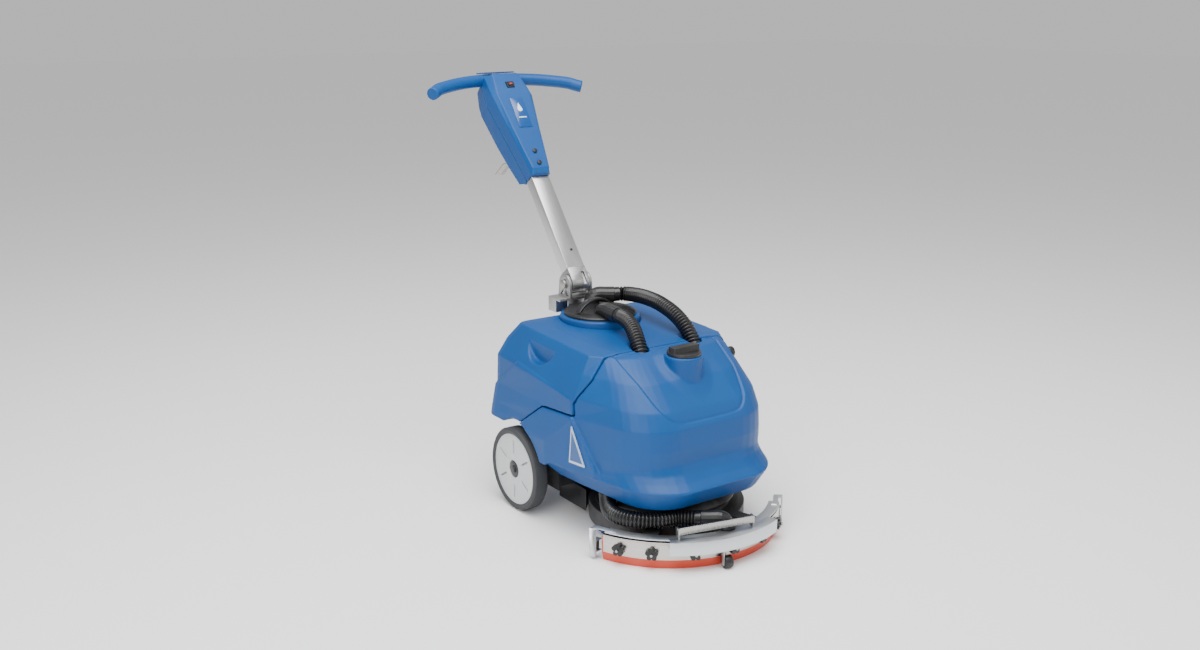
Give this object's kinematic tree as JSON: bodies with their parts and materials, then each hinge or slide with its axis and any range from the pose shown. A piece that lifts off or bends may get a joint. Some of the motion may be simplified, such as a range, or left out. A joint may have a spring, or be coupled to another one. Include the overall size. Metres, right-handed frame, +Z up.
{
  "type": "walk-behind floor scrubber",
  "caption": "Compact walk-behind floor scrubber with a moulded blue body, disc brush, swinging arc squeegee, two drive wheels and a folding T-bar control handle.",
  "frame": {"origin": "on the floor under the middle of the machine's footprint", "axes": "+Z up, +Y from the nose back to the operator, +X to the right of someone who faces the machine's nose"},
  "size_m": [0.5181, 1.0588, 0.9913],
  "materials": {
    "blue_shell": "moulded polyethylene, fine satin grain",
    "blue_handle": "moulded polypropylene, satin",
    "black_plastic": "satin moulded",
    "hose_black": "corrugated flexible hose, semi gloss",
    "tyre_grey": "soft tread",
    "wheel_grey": "satin moulded",
    "steel": "machined",
    "stainless": "brushed",
    "galvanised": "zinc spangle",
    "cast_alu": "cast, satin",
    "tube_alu": "anodised satin",
    "painted_steel": "black powder coat",
    "blade_red": "polyurethane, slightly clear",
    "bristle_blue": "nylon bristle",
    "gasket_rubber": "soft",
    "label": "printed film",
    "switch_red": "polished window in the rocker",
    "battery_case": "satin"
  },
  "bodies": {
    "chassis": {"chassis_frame": "painted_steel", "chassis_tray": "black_plastic", "wheel_axle": "steel", "battery_left": "battery_case", "battery_right": "battery_case", "deck_housing": "painted_steel", "deck_cover": "black_plastic", "gear_motor": "painted_steel", "front_shell": "blue_shell", "suction_hose": "hose_black", "recovery_tank": "blue_shell", "tank_collar": "blue_shell", "tank_lid": "black_plastic", "lid_gasket": "gasket_rubber", "lid_handle": "black_plastic", "lid_elbow_front": "black_plastic", "lid_elbow_rear": "black_plastic", "hose_front": "hose_black", "hose_rear": "hose_black", "vacuum_motor": "black_plastic", "rear_mast": "tube_alu", "handle_bracket": "cast_alu", "pivot_bolt": "steel"},
    "handle": {"handle_knuckle": "cast_alu", "handle_tube": "tube_alu", "console_front": "blue_handle", "console_rear": "blue_handle", "handle_screws": "black_plastic", "console_label": "label", "switch_frame": "black_plastic", "grip_bar": "blue_handle", "top_plate": "label"},
    "switch": {"power_switch": "black_plastic"},
    "lever": {"release_lever": "steel"},
    "cap": {"filler_cap": "black_plastic"},
    "knob": {"flow_knob": "black_plastic"},
    "left_wheel": {"left_tyre": "tyre_grey", "left_disc": "wheel_grey", "left_bearing": "steel", "left_hub_bolt": "black_plastic"},
    "right_wheel": {"right_tyre": "tyre_grey", "right_disc": "wheel_grey", "right_bearing": "steel", "right_hub_bolt": "black_plastic"},
    "brush": {"drive_shaft": "steel", "brush_block": "bristle_blue", "brush_bristles": "bristle_blue"},
    "squeegee": {"swing_ring": "painted_steel", "squeegee_body": "black_plastic", "rear_blade": "blade_red", "front_blade": "blade_red", "blade_strap": "stainless", "squeegee_knobs": "black_plastic", "bumper_rail": "galvanised", "link_bar": "steel", "end_brackets": "galvanised", "outlet_elbow": "black_plastic"},
    "nose_roller": {"support_roller": "black_plastic"},
    "left_roller": {"left_guide_roller": "black_plastic"},
    "right_roller": {"right_guide_roller": "black_plastic"}
  },
  "joints": [
    {"name": "handle_fold", "type": "hinge", "parent": "chassis", "child": "handle", "pos_m": [0, 0.134, 0.499], "axis": [1, 0, 0], "range_deg": [-30, 38]},
    {"name": "switch_rock", "type": "hinge", "parent": "handle", "child": "switch", "pos_m": [0, 0.4329, 0.96279], "axis": [1, 0, 0], "range_deg": [0, 14]},
    {"name": "lever_pull", "type": "hinge", "parent": "handle", "child": "lever", "pos_m": [0, 0.38509, 0.7749], "axis": [1, 0, 0], "range_deg": [0, 12], "stiffness_Nm_per_rad": 1.5, "springref_deg": -5.73},
    {"name": "cap_turn", "type": "hinge", "parent": "chassis", "child": "cap", "pos_m": [0, -0.299, 0.418], "axis": [0, 0, 1], "range_deg": [0, 90]},
    {"name": "knob_turn", "type": "hinge", "parent": "chassis", "child": "knob", "pos_m": [0.17, -0.248, 0.382], "axis": [1, 0, 0], "range_deg": [0, 90]},
    {"name": "left_wheel_spin", "type": "hinge", "parent": "chassis", "child": "left_wheel", "pos_m": [-0.238, 0.02, 0.1], "axis": [1, 0, 0], "continuous": true},
    {"name": "right_wheel_spin", "type": "hinge", "parent": "chassis", "child": "right_wheel", "pos_m": [0.238, 0.02, 0.1], "axis": [1, 0, 0], "continuous": true},
    {"name": "brush_spin", "type": "hinge", "parent": "chassis", "child": "brush", "pos_m": [0, -0.242, 0], "axis": [0, 0, 1], "continuous": true},
    {"name": "squeegee_swing", "type": "hinge", "parent": "chassis", "child": "squeegee", "pos_m": [0, -0.242, 0.064], "axis": [0, 0, 1], "range_deg": [-8, 32], "deforming": ["suction_hose"]},
    {"name": "nose_roller_spin", "type": "hinge", "parent": "squeegee", "child": "nose_roller", "pos_m": [-0.04318, -0.5146, 0.014], "axis": [0.9877, -0.1564, 0], "continuous": true},
    {"name": "left_roller_spin", "type": "hinge", "parent": "squeegee", "child": "left_roller", "pos_m": [-0.24608, -0.31256, 0.03], "axis": [0, 0, 1], "continuous": true},
    {"name": "right_roller_spin", "type": "hinge", "parent": "squeegee", "child": "right_roller", "pos_m": [0.19611, -0.40655, 0.03], "axis": [0, 0, 1], "continuous": true}
  ]
}
